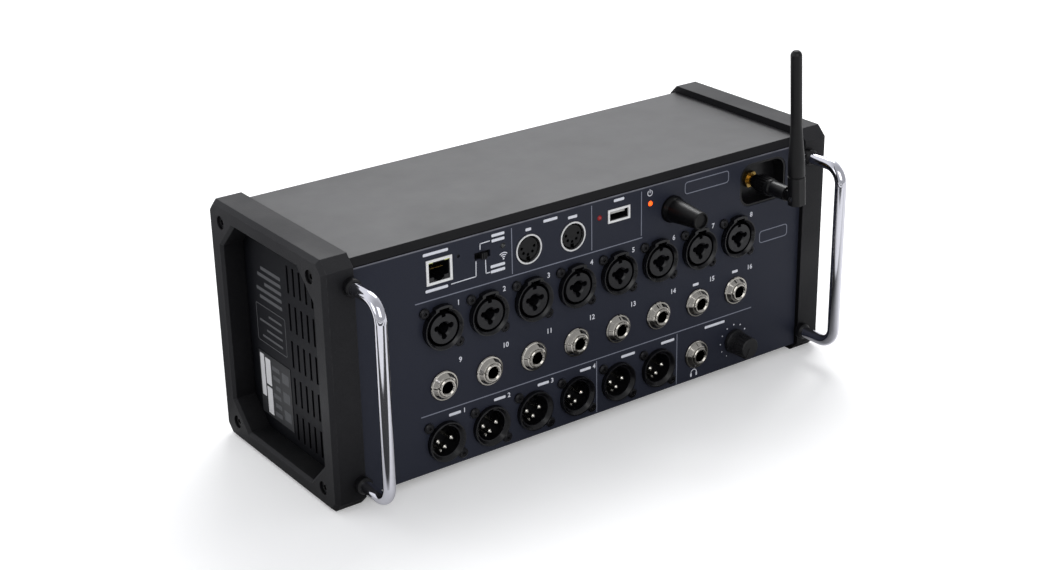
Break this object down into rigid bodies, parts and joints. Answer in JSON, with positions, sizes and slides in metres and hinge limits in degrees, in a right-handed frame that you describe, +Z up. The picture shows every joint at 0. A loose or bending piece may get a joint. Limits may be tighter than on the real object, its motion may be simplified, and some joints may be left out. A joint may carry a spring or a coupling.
{
  "type": "wireless stagebox mixer unit",
  "caption": "Rugged stage audio mixer box with microphone, line and output sockets on its face, carry handles, end bumpers and a swivelling radio antenna.",
  "frame": {"origin": "centre of the bounding box seen from above, on the plane the bumpers stand on", "axes": "+X to the right along the connector panel seen from the front, +Y from the panel into the case, +Z up"},
  "size_m": [0.333, 0.151, 0.1983],
  "materials": {
    "panel": "fine textured dark blue-grey powder coat",
    "cover": "fine textured dark grey powder coat",
    "steel_black": "satin black coated steel",
    "bumper": "moulded plastic, fine grain",
    "black_screw": "black zinc",
    "chrome": "polished chrome plate",
    "black_plastic": "moulded black plastic",
    "socket_black": "black moulded connector body",
    "socket_face": "dark grey moulded face",
    "nickel": "nickel plate",
    "contact_silver": "silver plated contacts",
    "socket_ring": "tin plated ring",
    "tongue_white": "white contact tongue",
    "lens_orange": "lit orange lamp",
    "lens_red": "red lamp, off",
    "lens_dark": "smoked lamp, off",
    "pot_metal": "plain metal",
    "knob": "soft touch black knob",
    "gold": "gold plate",
    "antenna_plastic": "satin black antenna plastic",
    "rest_rubber": "black rubber",
    "board_green": "green solder mask",
    "transformer": "wound transformer with yellow tape",
    "capacitor": "sleeved capacitor cans",
    "heat_sink": "extruded aluminium",
    "shield_can": "tin plated radio module can",
    "wire": "insulated leads",
    "label_film": "dark blank label film"
  },
  "bodies": {
    "chassis": {"front_panel": "panel", "top_cover": "cover", "bottom_tray": "steel_black", "side_plate_left": "steel_black", "side_plate_right": "steel_black", "bumper_left": "bumper", "bumper_right": "bumper", "bumper_screws": "black_screw", "handle_left": "chrome", "handle_right": "chrome", "handle_collars": "black_plastic", "cover_screws": "black_screw", "combo_collars": "socket_black", "combo_inserts": "socket_face", "combo_screws": "black_screw", "jack_bushings": "nickel", "jack_nuts": "nickel", "jack_bodies": "black_plastic", "xlr_collars": "socket_black", "xlr_inserts": "socket_black", "xlr_pins": "contact_silver", "xlr_screws": "black_screw", "data_socket_shells": "socket_ring", "data_socket_inserts": "socket_black", "usb_socket_shell": "nickel", "usb_socket_tongue": "tongue_white", "network_socket_shell": "nickel", "network_socket_insert": "socket_black", "mode_switch_body": "black_plastic", "reset_switch_body": "black_plastic", "power_led": "lens_orange", "usb_led": "lens_red", "wifi_led": "lens_dark", "phones_pot_body": "pot_metal", "antenna_cup": "black_plastic", "antenna_bulkhead_jack": "gold", "antenna_bulkhead_nut": "gold", "antenna_coupling": "antenna_plastic", "antenna_rest": "rest_rubber", "input_board": "board_green", "main_board": "board_green", "power_supply_board": "board_green", "transformer": "transformer", "filter_capacitors": "capacitor", "heat_sink": "heat_sink", "board_standoffs": "nickel", "wifi_module": "shield_can", "wiring_loom": "wire", "mains_inlet": "black_plastic", "mains_switch_body": "black_plastic", "rating_plate": "label_film"},
    "mode_slider": {"mode_switch_slider": "black_plastic"},
    "reset_plunger": {"reset_button": "black_plastic"},
    "level_dial": {"phones_knob": "knob", "phones_pot_shaft": "pot_metal"},
    "antenna_base": {"antenna_stem": "antenna_plastic", "antenna_hinge_pin": "nickel"},
    "antenna_rod": {"antenna_whip": "antenna_plastic"},
    "rocker": {"power_rocker": "black_plastic"}
  },
  "joints": [
    {"name": "antenna_swivel", "type": "hinge", "parent": "chassis", "child": "antenna_base", "pos_m": [0.117, -0.04065, 0.114], "axis": [0, 1, 0], "range_deg": [-86.8, 48.2]},
    {"name": "antenna_tilt", "type": "hinge", "parent": "antenna_base", "child": "antenna_rod", "pos_m": [0.117, -0.07085, 0.114], "axis": [0.9984, 0, 0.0558], "range_deg": [0, 90]},
    {"name": "level_dial_turn", "type": "hinge", "parent": "chassis", "child": "level_dial", "pos_m": [0.1008, -0.04065, 0.0209], "axis": [0, 1, 0], "range_deg": [0, 300]},
    {"name": "mode_switch_slide", "type": "slide", "parent": "chassis", "child": "mode_slider", "axis": [1, 0, 0], "range_m": [-0.0025, 0.0025]},
    {"name": "reset_button_press", "type": "slide", "parent": "chassis", "child": "reset_plunger", "axis": [0, 1, 0], "range_m": [0, 0.0005]},
    {"name": "power_rocker_tilt", "type": "hinge", "parent": "chassis", "child": "rocker", "pos_m": [0.1533, 0.03335, 0.084], "axis": [0, 1, 0], "range_deg": [-16, 0]}
  ]
}
